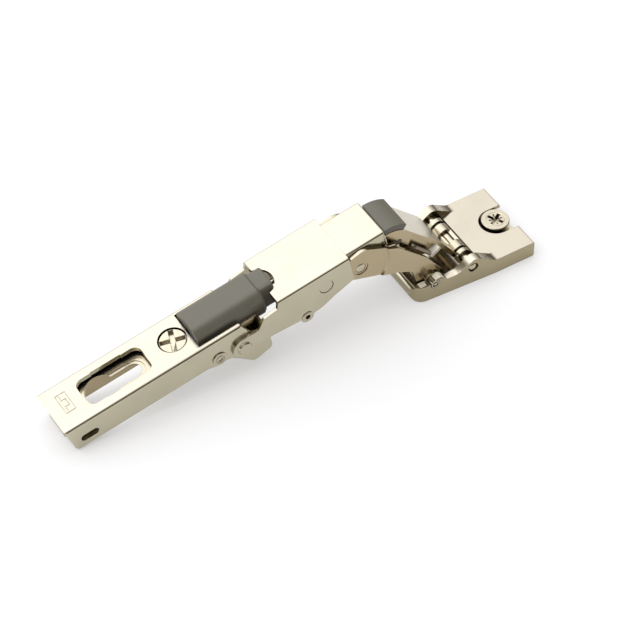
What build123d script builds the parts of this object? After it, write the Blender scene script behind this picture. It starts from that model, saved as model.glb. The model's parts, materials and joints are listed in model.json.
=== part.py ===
"""Concealed cabinet hinge with a flat door housing, shown resting at its open stop.

The rear arm, damper and cover form one rigid leaf, tilted up from its rear end.
Two curved levers carry the door housing, which lies flat on its door face.
The world origin is on the door face, below the outer lever's lower pin.
Lengths are in millimetres, with X along the hinge and Z up from the door face.
Places on the leaf are given from the ear pin, along the leaf and square to it.
"""

import os
from math import atan2, cos, degrees, radians, sin

from build123d import *

os.makedirs("parts", exist_ok=True)

# ---------------------------------------------------------------- driving sizes
leaf_tilt = 11.4            # rise of the arm and cover from the floor, degrees
running_gap = 0.05          # radial clearance of a pin in the part that turns on it
slip_gap = 0.1              # side clearance between parts that slide or turn
seat_gap = 0.05             # clearance of a part that is seated on another

# pivots: along the leaf from the ear pin, and square to it
outer_pivot = (49.8, -2.35)         # upper pin of the outer lever
inner_pivot = (39.3, 1.75)          # upper rivets of the inner lever
outer_foot = (70.8, -20.2)          # lower pin of the outer lever
inner_foot = (58.5, -18.2)          # lower pin of the inner lever
foot_height = 6.1                   # outer lever's lower pin above the door face
inner_foot_slot = 2.35              # play of the inner lever's slotted eye

# rear arm
arm_width = 16.5
arm_sheet = 1.4
arm_top = 8.3
arm_bottom = -1.45
arm_rear = -55.3
arm_front = 1.2
arm_deck_front = -11.6              # where the top face ends behind the damper
lobe_front = 8.5                    # wall lobe below the cover
lobe_middle = 1.9
lobe_bottom = -9.4
rear_boss_radius = 3.0
bend_radius = 1.0
window_rear = -45.2
window_front = -24.7
window_width = 9.8
window_corner = 2.4
wall_slot_place = (-48.8, 2.3)
wall_slot_length = 5.6
wall_slot_height = 2.4
tail_slant = 1.6                    # how far the wall's rear edge leans forward
tail_corner = 1.4

# inner base that clips to the mounting plate
base_top = 5.2
base_sheet = 1.0
base_rear = -45.6
base_front = -12.6
base_tail = -53.2
base_slot_rear = -44.2
base_slot_front = -25.6
base_slot_width = 6.4
base_rim = 0.7
base_bottom = -1.1

# side adjusting screw
side_screw_place = -16.2
side_screw_head = 4.2
side_screw_head_height = 1.6
side_screw_thread = 2.5
side_screw_length = 7.4
cross_slot_width = 1.5
cross_slot_length = 7.0
cross_slot_depth = 1.2

# rear latch
latch_place = (-50.2, 2.0)
latch_pin_radius = 1.0
latch_width = 8.0
latch_boss = 1.9
latch_tail = -56.2
latch_wire = 0.6
latch_coil = 1.75
latch_opening_rear = 2.6            # opening for the spring, from the latch's pin
latch_opening_front = 4.0
latch_opening_top = 3.0
latch_cheek = 1.4                   # wall beside the opening

# rivets and pins of the leaf
rear_rivet_place = (-7.5, 0.7)
pin_radius = 1.5
hollow_radius = 0.8
rivet_head_radius = 2.2
rivet_head_height = 0.55

# cradle under the damper
cradle_sheet = 0.95
cradle_bottom = -6.6
cradle_top = 7.0
cradle_front = 8.0

# damper
damper_radius = 6.3
damper_axis = 7.2
damper_flat = 12.3
damper_blend = 2.2                  # rounding between the flats and the round body
damper_rear = -11.2
damper_front = 10.8
damper_round = 0.9                  # bevel round the end of the damper and its nose
nose_radius = 4.3
nose_front = 15.0
rod_radius = 0.8
cap_thickness = 1.2
cap_radius = 4.8

# cover
cover_sheet = 0.9
cover_top = 9.9
cover_rear = 12.9
cover_front = 36.2
ear_radius = 3.6
notch_radius = 5.0
notch_place = 11.6
flange_drop = 1.5                   # turned-down rear edge beside the notch

# rocker that drives the damper
rocker_place = (27.9, 3.7)
rocker_gap = 0.5                    # beside the rocker in the channel
rocker_sheet = 1.4
rocker_boss = 2.4
rocker_lobe = 1.3
rocker_lobe_lead = 0.4
rocker_lobe_height = 6.3
follower_place = (20.2, -3.5)
follower_radius = 1.3

# link channel under the cover
channel_sheet = 0.9
channel_rear = 16.4
channel_web_front = 49.2
channel_ear_radius = 3.2

# outer lever
outer_sheet = 1.2
outer_hub_radius = 8.2              # outside of the rolled web round its upper pin
outer_hub_start = 92.0
outer_hub_end = 34.0
knuckle_radius = 2.4
knuckle_inset = 0.8                 # set of the knuckle from the lever's sides
knuckle_window = 4.6
bumper_thickness = 1.9
bumper_start = 91.0
bumper_end = 47.0

# lever spring and its pin
spring_pin_place = (56.7, -4.3)
bow_radius = 0.65                   # spring wire that crosses the lever
bow_foot_place = (61.0, -10.8)
lever_spring_coil = 1.25             # to the middle of the wire
lever_spring_wire = 0.9
lever_spring_turns = 5
stud_place = (53.1, 0.3)
stud_radius = 0.9
stud_clear = 3.0                    # half of the square that opens between the studs

# inner lever
lever_sheet = 1.1
lever_side_gap = 0.1
lever_step = 0.55                   # sideways set of the plate past the cover
lever_step_radius = 8.4
lever_half_height = 4.6
lever_eye_radius = 3.0
lever_bridge = 0.95                 # thickness of the web that joins the two plates
bridge_start = 25.2                 # distance of the web from the inner pivot
bridge_end = 28.6
eye_slack = 0.33                    # side play of the lower pin in its slot

# door housing
housing_width = 25.7
housing_nose_width = 22.9
housing_wall = 1.2
housing_rear = -19.2
housing_front = 20.8
housing_height = 5.4
housing_floor = 1.0
housing_nose_height = 5.4
pocket_front = 3.6
shoulder_start = 4.4
shoulder_end = 7.4
cheek_peak = 10.0
foot_boss = 2.5
pin_head_radius = 1.9
spacer_radius = 2.45
spacer_width = 1.4
nose_corner = 4.5
cheek_middle = 1.6
cheek_dip = 6.5
boss_height = 7.1
pocket_wall = 2.0                   # wall beside the levers

bush_radius = 2.9

# cam screw
cam_place = 15.9
cam_head_radius = 4.15
cam_head_height = 2.0
cam_head_top = 6.3
cam_neck_radius = 2.3
cam_disc_radius = 2.9
cam_throw = 0.8
cam_floor = 2.4
cam_notch_radius = 4.9
cam_cross_length = 4.4
cam_cross_width = 0.9
cam_cross_depth = 1.3
cam_plate_rear = 6.0
cam_plate_sheet = 1.1
cam_disc_floor = 0.2

# ---------------------------------------------------------------- reference planes
tilt_cos = cos(radians(leaf_tilt))
tilt_sin = sin(radians(leaf_tilt))
ear_x = outer_foot[1] * tilt_sin - outer_foot[0] * tilt_cos
ear_z = foot_height - outer_foot[0] * tilt_sin - outer_foot[1] * tilt_cos
ear = Vector(ear_x, 0, ear_z)
along = Vector(tilt_cos, 0, tilt_sin)
square = Vector(-tilt_sin, 0, tilt_cos)
near = Vector(0, -1, 0)
along_axis = Axis(ear, along)
square_axis = Axis(ear, square)
leaf_side = Plane(origin=ear, x_dir=along, z_dir=near)


def leaf_point(place):
    """World point of a place on the leaf's middle plane."""
    return ear + along * place[0] + square * place[1]


def leaf_deck(height):
    """Plane parallel to the leaf's top face, at a height above the ear pin."""
    return Plane(origin=ear + square * height, x_dir=along, z_dir=square)


def damper_end(reach):
    """Plane square to the damper's axis, at a distance along the leaf."""
    return Plane(origin=leaf_point((reach, damper_axis)), x_dir=-near, z_dir=along)


def outline(plane, points, radii):
    """Closed outline with rounded corners, drawn on a plane."""
    with BuildSketch(plane) as drawn:
        with BuildLine():
            FilletPolyline(*points, radius=radii, close=True)
        make_face()
    return drawn.sketch


def rod_along_y(place, radius, half_width):
    """Round bar across the leaf at one of its places."""
    with BuildSketch(leaf_side) as round_end:
        with Locations(place):
            Circle(radius)
    extrude(round_end.sketch, amount=half_width, both=True)


def drill_across(place, radius, half_width):
    """Hole across the leaf at one of its places."""
    with BuildSketch(leaf_side) as round_end:
        with Locations(place):
            Circle(radius)
    extrude(round_end.sketch, amount=half_width, both=True, mode=Mode.SUBTRACT)


def hollow(points, half_width):
    """Clear the space between two side walls."""
    with BuildSketch(leaf_side) as space:
        with BuildLine():
            Polyline(*points, close=True)
        make_face()
    extrude(space.sketch, amount=half_width, both=True, mode=Mode.SUBTRACT)


def polar(centre, radius, angle):
    """Place on the leaf at a radius and an angle from a pivot."""
    return (
        centre[0] + radius * cos(radians(angle)),
        centre[1] + radius * sin(radians(angle)),
    )


def save(part, name):
    """Label a finished piece and write its file."""
    part.label = name
    export_step(part, f"parts/{name}.step")


arm_half = arm_width / 2
arm_inner_half = arm_half - arm_sheet
base_half = arm_inner_half - seat_gap
base_inner_half = base_half - base_sheet
cover_inner_half = arm_half + seat_gap
cover_half = cover_inner_half + cover_sheet
cradle_half = arm_inner_half - seat_gap
cradle_inner_half = cradle_half - cradle_sheet
damper_half_width = cradle_inner_half - slip_gap
channel_half = cover_inner_half - slip_gap - lever_sheet - lever_side_gap
channel_inner_half = channel_half - channel_sheet
channel_top = cover_top - cover_sheet - seat_gap
outer_half = channel_inner_half - slip_gap
outer_inner_half = outer_half - outer_sheet
inside_far = -30.0                  # below every leaf part, for through cuts

# ---------------------------------------------------------------- rear arm
arm_profile = [
    (arm_rear, arm_top),
    (arm_front, arm_top),
    (arm_front + 2.4, 3.2),
    (lobe_front - 1.0, 1.0),
    (lobe_front, -3.4),
    (lobe_front, lobe_bottom + 1.6),
    (lobe_middle, lobe_bottom),
    (rear_rivet_place[0] + 3.6, rear_rivet_place[1] - 3.4),
    (rear_rivet_place[0] + 1.6, rear_rivet_place[1] - rear_boss_radius),
    (rear_rivet_place[0] - 1.6, rear_rivet_place[1] - rear_boss_radius),
    (rear_rivet_place[0] - 4.0, arm_bottom),
    (arm_rear + tail_slant, arm_bottom),
]
arm_corners = [0, 0.6, 1.0, 1.0, 1.0, 1.6, 2.2, 0.8, 1.2, 1.6, 1.6, tail_corner]
with BuildPart() as rear_arm:
    extrude(outline(leaf_side, arm_profile, arm_corners), amount=arm_half, both=True)
    deck_edges = rear_arm.faces().filter_by(square_axis).sort_by(square_axis)[-1].edges()
    fillet(deck_edges.filter_by(along_axis), bend_radius)
    hollow(
        [
            (arm_rear - 1, arm_top - arm_sheet),
            (arm_deck_front, arm_top - arm_sheet),
            (arm_deck_front, arm_top + 1),
            (arm_front + 10, arm_top + 1),
            (arm_front + 10, inside_far),
            (arm_rear - 1, inside_far),
        ],
        arm_inner_half,
    )
    with BuildSketch(leaf_deck(arm_top)):
        with Locations(((window_rear + window_front) / 2, 0)):
            RectangleRounded(window_front - window_rear, window_width, window_corner)
        with Locations((side_screw_place, 0)):
            Circle(side_screw_head + running_gap)
    extrude(amount=-2 * arm_sheet, mode=Mode.SUBTRACT)
    with BuildSketch(leaf_side):
        with Locations(wall_slot_place):
            SlotOverall(wall_slot_length, wall_slot_height)
    extrude(amount=arm_width, both=True, mode=Mode.SUBTRACT)
    drill_across(rear_rivet_place, pin_radius, arm_width)
    drill_across((0, 0), pin_radius, arm_width)
save(rear_arm.part, "rear_arm")

# ---------------------------------------------------------------- inner base
base_profile = [
    (base_rear, base_top),
    (base_front, base_top),
    (base_front, base_bottom + 2.5),
    (base_front - 4, base_bottom),
    (base_tail, base_bottom),
    (base_tail, latch_place[1] + 2.2),
    (base_rear - 1.5, latch_place[1] + 2.2),
]
base_corners = [0.5, 0.5, 1.0, 1.5, 0.8, 0.8, 0.5]
slot_middle = (base_slot_rear + base_slot_front) / 2
slot_length = base_slot_front - base_slot_rear
with BuildPart() as inner_base:
    extrude(outline(leaf_side, base_profile, base_corners), amount=base_half, both=True)
    hollow(
        [
            (base_rear - 0.2, base_top - base_sheet),
            (base_front + 1, base_top - base_sheet),
            (base_front + 1, inside_far),
            (base_tail - 1, inside_far),
            (base_tail - 1, base_top + 1),
            (base_rear - 0.2, base_top + 1),
        ],
        base_inner_half,
    )
    with BuildSketch(leaf_deck(base_top)):
        with Locations((slot_middle, 0)):
            SlotOverall(slot_length + 2 * base_rim, base_slot_width + 2 * base_rim)
    extrude(amount=base_rim)
    with BuildSketch(leaf_deck(base_top + base_rim)):
        with Locations((slot_middle, 0)):
            SlotOverall(slot_length, base_slot_width)
    extrude(amount=-(base_rim + 2 * base_sheet), mode=Mode.SUBTRACT)
    with BuildSketch(leaf_deck(base_top)):
        with Locations((side_screw_place, 0)):
            Circle(side_screw_thread + running_gap)
    extrude(amount=-2 * base_sheet, mode=Mode.SUBTRACT)
    drill_across(latch_place, latch_pin_radius, arm_width)
save(inner_base.part, "inner_base")

# ---------------------------------------------------------------- side adjusting screw
with BuildPart() as side_screw:
    with BuildSketch(leaf_deck(arm_top - 0.1)):
        with Locations((side_screw_place, 0)):
            Circle(side_screw_head)
    extrude(amount=-side_screw_head_height)
    with BuildSketch(leaf_deck(arm_top - 0.1)):
        with Locations((side_screw_place, 0)):
            Circle(side_screw_thread)
    extrude(amount=-side_screw_length)
    with BuildSketch(leaf_deck(arm_top - 0.1)):
        with Locations((side_screw_place, 0)):
            Rectangle(cross_slot_length, cross_slot_width, rotation=45)
            Rectangle(cross_slot_length, cross_slot_width, rotation=135)
    extrude(amount=-cross_slot_depth, mode=Mode.SUBTRACT)
save(side_screw.part, "side_screw")

# ---------------------------------------------------------------- rear latch
latch_profile = [
    (latch_tail, latch_place[1] + 3.4),
    (latch_tail + 1.1, latch_place[1] + 3.4),
    (latch_tail + 2.2, latch_place[1] + 1.4),
    (latch_place[0], latch_place[1] + latch_boss),
    (latch_place[0] + latch_boss, latch_place[1]),
    (latch_place[0] + latch_boss + 0.4, base_bottom),
    (latch_place[0] + 0.2, base_bottom),
    (latch_place[0] - latch_boss, latch_place[1] - 1.2),
    (latch_tail + 1.4, latch_place[1] - 0.4),
    (latch_tail, latch_place[1] + 1.4),
]
latch_corners = [0.3, 0.3, 0.8, 1.2, 0.8, 0.3, 0.3, 0.8, 0.8, 0.5]
with BuildPart() as rear_latch:
    extrude(outline(leaf_side, latch_profile, latch_corners), amount=latch_width / 2, both=True)
    hollow(
        [
            (latch_place[0] - latch_opening_rear, latch_place[1] + latch_opening_top),
            (latch_place[0] + latch_opening_front, latch_place[1] + latch_opening_top),
            (latch_place[0] + latch_opening_front, inside_far),
            (latch_place[0] - latch_opening_rear, inside_far),
        ],
        latch_width / 2 - latch_cheek,
    )
    drill_across(latch_place, latch_pin_radius + running_gap, arm_width)
save(rear_latch.part, "rear_latch")

with BuildPart() as latch_pin:
    rod_along_y(latch_place, latch_pin_radius, base_half)
save(latch_pin.part, "latch_pin")

with BuildPart() as latch_spring:
    with BuildSketch(leaf_side):
        with Locations(latch_place):
            Circle(latch_coil)
            Circle(latch_coil - latch_wire, mode=Mode.SUBTRACT)
    extrude(amount=latch_wire * 2.4, both=True)
save(latch_spring.part, "latch_spring")

# ---------------------------------------------------------------- cradle
cradle_profile = [
    (rear_rivet_place[0] - 2.6, rear_rivet_place[1] + 2.4),
    (2.6, cradle_top),
    (cradle_front - 1, cradle_top),
    (cradle_front, cradle_top - 4),
    (cradle_front, cradle_bottom + 1.5),
    (cradle_front - 1.5, cradle_bottom),
    (-1.2, cradle_bottom),
    (rear_rivet_place[0] + 1.6, arm_bottom - 0.2),
    (rear_rivet_place[0] - 2.6, arm_bottom + 0.4),
]
cradle_corners = [1.5, 1.5, 0.6, 1.0, 0.8, 0.8, 2.0, 1.5, 1.0]
with BuildPart() as cradle:
    extrude(outline(leaf_side, cradle_profile, cradle_corners), amount=cradle_half, both=True)
    hollow(
        [
            (rear_rivet_place[0] - 5, cradle_top + 1),
            (cradle_front + 1, cradle_top + 1),
            (cradle_front + 1, cradle_bottom + cradle_sheet),
            (rear_rivet_place[0] - 5, cradle_bottom + cradle_sheet),
        ],
        cradle_inner_half,
    )
    drill_across(rear_rivet_place, pin_radius, arm_width)
    drill_across((0, 0), pin_radius, arm_width)
save(cradle.part, "cradle")

# ---------------------------------------------------------------- pins of the leaf
with BuildPart() as rear_rivet:
    rod_along_y(rear_rivet_place, pin_radius, arm_half)
    for side in (1, -1):
        with BuildSketch(leaf_side.offset(side * arm_half)):
            with Locations(rear_rivet_place):
                Circle(rivet_head_radius)
        extrude(amount=side * rivet_head_height)
    drill_across(rear_rivet_place, hollow_radius, arm_width)
save(rear_rivet.part, "rear_rivet")

with BuildPart() as ear_pin:
    rod_along_y((0, 0), pin_radius, cover_half)
    for side in (1, -1):
        with BuildSketch(leaf_side.offset(side * cover_half)):
            Circle(rivet_head_radius)
        extrude(amount=side * rivet_head_height, taper=35)
save(ear_pin.part, "ear_pin")

# ---------------------------------------------------------------- damper
def damper_section(reach):
    """Round section with flat sides and a flat top."""
    with BuildSketch(damper_end(reach)) as section:
        Circle(damper_radius)
        with Locations((damper_radius + damper_half_width, 0), (-damper_radius - damper_half_width, 0)):
            Rectangle(2 * damper_radius, 3 * damper_radius, mode=Mode.SUBTRACT)
        with Locations((0, damper_flat - damper_axis + damper_radius)):
            Rectangle(3 * damper_radius, 2 * damper_radius, mode=Mode.SUBTRACT)
        fillet(section.vertices(), damper_blend)
    return section.sketch


with BuildPart() as damper_body:
    extrude(damper_section(damper_rear), amount=damper_front - damper_round - damper_rear)
    extrude(damper_section(damper_front - damper_round), amount=damper_round, taper=40)
    with BuildSketch(damper_end(damper_front)):
        Circle(nose_radius)
    extrude(amount=nose_front - damper_front - damper_round)
    with BuildSketch(damper_end(nose_front - damper_round)):
        Circle(nose_radius)
    extrude(amount=damper_round, taper=35)
    with BuildSketch(damper_end(nose_front)):
        Circle(rod_radius + running_gap)
    extrude(amount=-(nose_front - damper_front) * 2, mode=Mode.SUBTRACT)
    with BuildSketch(damper_end(damper_rear)):
        Circle(cap_radius)
    extrude(amount=cap_thickness, mode=Mode.SUBTRACT)
    drill_across(rear_rivet_place, rivet_head_radius - 0.4, arm_width)
    drill_across((0, 0), pin_radius + running_gap, arm_width)
save(damper_body.part, "damper_body")

with BuildPart() as damper_cap:
    with BuildSketch(damper_end(damper_rear)):
        Circle(cap_radius - seat_gap)
        Circle(cap_radius / 3, mode=Mode.SUBTRACT)
    extrude(amount=cap_thickness - seat_gap)
save(damper_cap.part, "damper_cap")

lobe_place = (rocker_place[0] - rocker_lobe_lead, rocker_lobe_height)
rod_front = lobe_place[0] - rocker_lobe - 0.3
rod_rear = damper_front - 1.0
with BuildPart() as damper_rod:
    with BuildSketch(damper_end(rod_rear)):
        Circle(rod_radius)
    extrude(amount=rod_front - rod_rear)
save(damper_rod.part, "damper_rod")

# ---------------------------------------------------------------- cover
cover_profile = [
    (cover_rear, cover_top),
    (cover_front, cover_top),
    (cover_front, 0.7),
    (33.7, 0.1),
    (29.3, -1.1),
    (25.2, -2.6),
    (21.0, -3.2),
    (8.5, -1.8),
    (0, -ear_radius),
    (0, ear_radius),
    (5.3, 3.4),
    (7.6, 6.7),
    (12.2, 7.3),
]
with BuildPart() as cover:
    with BuildSketch(leaf_side):
        with BuildLine():
            FilletPolyline(*cover_profile, radius=[0, 0, 0.5, 0, 0, 0, 3, 4, 0, 0, 1, 1, 0.3], close=True)
        make_face()
        Circle(ear_radius)
    extrude(amount=cover_half, both=True)
    deck_edges = cover.faces().filter_by(square_axis).sort_by(square_axis)[-1].edges()
    fillet(deck_edges.filter_by(along_axis), 0.8)
    hollow(
        [
            (-10, cover_top - cover_sheet),
            (cover_front + 1, cover_top - cover_sheet),
            (cover_front + 1, inside_far),
            (-10, inside_far),
        ],
        cover_inner_half,
    )
    with BuildSketch(leaf_deck(cover_top)):
        with Locations((notch_place, 0)):
            Circle(notch_radius)
    extrude(amount=-2 * cover_sheet, mode=Mode.SUBTRACT)
    with BuildSketch(leaf_deck(cover_top - bend_radius)):
        for side in (1, -1):
            flange_middle = (notch_radius + cover_inner_half + 0.2) / 2
            with Locations((cover_rear + cover_sheet / 2, side * flange_middle)):
                Rectangle(cover_sheet, cover_inner_half - notch_radius + 0.2)
    extrude(amount=-flange_drop)
    drill_across((0, 0), pin_radius, arm_width)
    drill_across(rocker_place, pin_radius, arm_width)
save(cover.part, "cover")

# ---------------------------------------------------------------- link channel
channel_profile = [
    (channel_rear, channel_top),
    (channel_web_front, channel_top),
    (channel_web_front - 0.5, outer_pivot[1] + channel_ear_radius + 1.0),
    (outer_pivot[0] + channel_ear_radius, outer_pivot[1] + channel_ear_radius - 0.4),
    (outer_pivot[0] + channel_ear_radius - 0.4, outer_pivot[1] - channel_ear_radius),
    (outer_pivot[0] - 3.0, outer_pivot[1] - channel_ear_radius + 0.2),
    (inner_pivot[0] - 3.0, inner_pivot[1] - channel_ear_radius),
    (rocker_place[0] + 4.0, 0.2),
    (channel_rear, 0.2),
]
channel_corners = [0, 0.5, 0.8, 2.4, 2.4, 2.0, 2.0, 1.0, 1.5]
with BuildPart() as link_channel:
    extrude(outline(leaf_side, channel_profile, channel_corners), amount=channel_half, both=True)
    deck_edges = link_channel.faces().filter_by(square_axis).sort_by(square_axis)[-1].edges()
    fillet(deck_edges.filter_by(along_axis), 0.8)
    hollow(
        [
            (channel_rear - 1, channel_top - channel_sheet),
            (channel_web_front + 9, channel_top - channel_sheet),
            (channel_web_front + 9, inside_far),
            (channel_rear - 1, inside_far),
        ],
        channel_inner_half,
    )
    drill_across(rocker_place, pin_radius, arm_width)
    drill_across(inner_pivot, pin_radius, arm_width)
    drill_across(outer_pivot, pin_radius, arm_width)
save(link_channel.part, "link_channel")

# ---------------------------------------------------------------- rocker and its pins
rocker_half = channel_inner_half - rocker_gap
with BuildPart() as rocker:
    with BuildSketch(leaf_side):
        with Locations(rocker_place):
            Circle(rocker_boss)
        with Locations(follower_place):
            Circle(follower_radius + 1.0)
        with BuildLine():
            Polyline(
                rocker_place,
                (rocker_place[0] - 1.0, rocker_place[1] + rocker_boss - 0.2),
                (follower_place[0] - 2.0, follower_place[1] + 1.2),
                (follower_place[0] + 1.2, follower_place[1] - 2.0),
                (rocker_place[0] + 1.6, rocker_place[1] - 1.6),
                close=True,
            )
        make_face()
        with BuildLine():
            Polyline(
                (lobe_place[0] - rocker_lobe, lobe_place[1]),
                (lobe_place[0] + rocker_lobe, lobe_place[1]),
                (rocker_place[0] + rocker_boss - 0.2, rocker_place[1]),
                (rocker_place[0] - rocker_boss + 0.2, rocker_place[1]),
                close=True,
            )
        make_face()
    extrude(amount=rocker_half, both=True)
    hollow(
        [
            (follower_place[0] - 6, rocker_place[1] + rocker_boss + 0.6),
            (rocker_place[0] + 6, rocker_place[1] + rocker_boss + 0.6),
            (rocker_place[0] + 6, inside_far),
            (follower_place[0] - 6, inside_far),
        ],
        rocker_half - rocker_sheet,
    )
    rod_along_y(lobe_place, rocker_lobe, rocker_half)
    drill_across(rocker_place, pin_radius + running_gap, arm_width)
    drill_across(follower_place, follower_radius, arm_width)
save(rocker.part, "rocker")

with BuildPart() as rocker_pin:
    rod_along_y(rocker_place, pin_radius, cover_half + 0.1)
save(rocker_pin.part, "rocker_pin")

with BuildPart() as follower_pin:
    rod_along_y(follower_place, follower_radius, cover_inner_half - slip_gap)
    drill_across(follower_place, follower_radius / 2, arm_width)
    rod_along_y(follower_place, follower_radius, rocker_half)
save(follower_pin.part, "follower_pin")

# ---------------------------------------------------------------- outer lever
hub_end = polar(outer_pivot, outer_hub_radius, outer_hub_end)
hub_start = polar(outer_pivot, outer_hub_radius, outer_hub_start)
hub_middle = polar(outer_pivot, outer_hub_radius, (outer_hub_start + outer_hub_end) / 2)
web_knee = (65.4, -10.4)
web_foot = (outer_foot[0] - knuckle_radius, outer_foot[1] + 0.6)
with BuildPart() as outer_lever:
    with BuildSketch(leaf_side) as lever_side:
        with BuildLine():
            Polyline(hub_start, outer_pivot, hub_end)
            ThreePointArc(hub_end, hub_middle, hub_start)
        make_face()
        with BuildLine():
            Polyline(
                hub_end,
                web_knee,
                (outer_foot[0] - 1.6, outer_foot[1] + 1.8),
                (outer_foot[0] - knuckle_radius, outer_foot[1]),
                (outer_foot[0] - 5.4, outer_foot[1] + 5.6),
                (outer_pivot[0] + 8.0, outer_pivot[1] - 8.4),
                (outer_pivot[0] + 1.0, outer_pivot[1] - 3.0),
                outer_pivot,
                close=True,
            )
        make_face()
        with Locations(outer_pivot):
            Circle(3.1)
    extrude(amount=outer_half, both=True)
    with BuildSketch(leaf_side):
        with BuildLine():
            inner_start = polar(outer_pivot, outer_hub_radius - outer_sheet, outer_hub_start + 40)
            inner_end = polar(outer_pivot, outer_hub_radius - outer_sheet, outer_hub_end)
            inner_middle = polar(outer_pivot, outer_hub_radius - outer_sheet, outer_hub_start - 20)
            ThreePointArc(inner_start, inner_middle, inner_end)
            Polyline(
                inner_end,
                (web_knee[0] - outer_sheet, web_knee[1] - outer_sheet * 0.6),
                (outer_foot[0] - 1.6 - outer_sheet, outer_foot[1] + 1.8),
                (outer_foot[0] - 9.0, outer_foot[1] - 6.0),
                (outer_pivot[0] - 14, outer_pivot[1] - 14),
                inner_start,
            )
        make_face()
    extrude(amount=outer_inner_half, both=True, mode=Mode.SUBTRACT)
    with BuildSketch(leaf_side):
        with Locations(outer_foot):
            Circle(knuckle_radius)
    extrude(amount=outer_half - knuckle_inset, both=True)
    drill_across(outer_foot, pin_radius + running_gap, arm_width)
    drill_across(outer_pivot, pin_radius + running_gap, arm_width)
    drill_across(spring_pin_place, bow_radius + running_gap, arm_width)
    drill_across(stud_place, stud_radius, arm_width)
    with BuildSketch(leaf_side):
        with Locations((outer_foot[0], outer_foot[1] + knuckle_radius)):
            Rectangle(2 * knuckle_radius, knuckle_radius)
    extrude(amount=knuckle_window / 2, both=True, mode=Mode.SUBTRACT)
save(outer_lever.part, "outer_lever")

bumper_radius = outer_hub_radius + bumper_thickness
bumper_front = polar(outer_pivot, outer_hub_radius, bumper_end)
bumper_back = polar(outer_pivot, outer_hub_radius, bumper_start)
with BuildPart() as bumper:
    with BuildSketch(leaf_side):
        with BuildLine():
            CenterArc(outer_pivot, bumper_radius, bumper_end, bumper_start - bumper_end)
            CenterArc(outer_pivot, outer_hub_radius, bumper_end, bumper_start - bumper_end)
            Line(bumper_front, polar(outer_pivot, bumper_radius, bumper_end))
            Line(bumper_back, polar(outer_pivot, bumper_radius, bumper_start))
        make_face()
    extrude(amount=outer_half - slip_gap, both=True)
save(bumper.part, "bumper")

with BuildPart() as bumper_studs:
    rod_along_y(stud_place, stud_radius, outer_half)
    hollow(
        [
            (stud_place[0] - stud_clear, stud_place[1] + stud_clear),
            (stud_place[0] + stud_clear, stud_place[1] + stud_clear),
            (stud_place[0] + stud_clear, stud_place[1] - stud_clear),
            (stud_place[0] - stud_clear, stud_place[1] - stud_clear),
        ],
        outer_inner_half,
    )
save(bumper_studs.part, "bumper_studs")

with BuildPart() as outer_pin:
    rod_along_y(outer_pivot, pin_radius, channel_half)
save(outer_pin.part, "outer_pin")

bow_side = outer_half + slip_gap + bow_radius
bow_top = leaf_point(spring_pin_place)
bow_foot = leaf_point(bow_foot_place)
with BuildPart() as spring_bow:
    with BuildLine() as bow_path:
        FilletPolyline(
            bow_foot - near * bow_side,
            bow_top - near * bow_side,
            bow_top + near * bow_side,
            bow_foot + near * bow_side,
            radius=bow_radius + 0.15,
        )
    with BuildSketch(bow_path.line ^ 0):
        Circle(bow_radius)
    sweep()
save(spring_bow.part, "spring_bow")

lever_spring_pitch = lever_spring_wire + 0.15
with BuildPart() as lever_spring:
    with BuildLine() as lever_spring_path:
        Helix(
            pitch=lever_spring_pitch,
            height=lever_spring_turns * lever_spring_pitch,
            radius=lever_spring_coil,
            center=leaf_point(spring_pin_place) + near * (lever_spring_turns * lever_spring_pitch / 2),
            direction=-near,
        )
    with BuildSketch(lever_spring_path.line ^ 0):
        RegularPolygon(lever_spring_wire / 2, 6)
    sweep()
save(lever_spring.part, "lever_spring")

# ---------------------------------------------------------------- inner lever
lever_inner = channel_half + lever_side_gap
lever_outer = lever_inner + lever_sheet
set_inner = lever_inner + lever_step
set_outer = set_inner + lever_sheet
foot_run = Vector(inner_foot[0] - inner_pivot[0], inner_foot[1] - inner_pivot[1]).normalized()
foot_side = Vector(foot_run.Y, -foot_run.X)
foot_angle = degrees(atan2(foot_run.Y, foot_run.X))


def beside_run(distance, offset):
    """Place at a distance from the inner pivot towards its foot, set off to the door side."""
    spot = Vector(*inner_pivot) + foot_run * distance + foot_side * offset
    return (spot.X, spot.Y)


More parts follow.
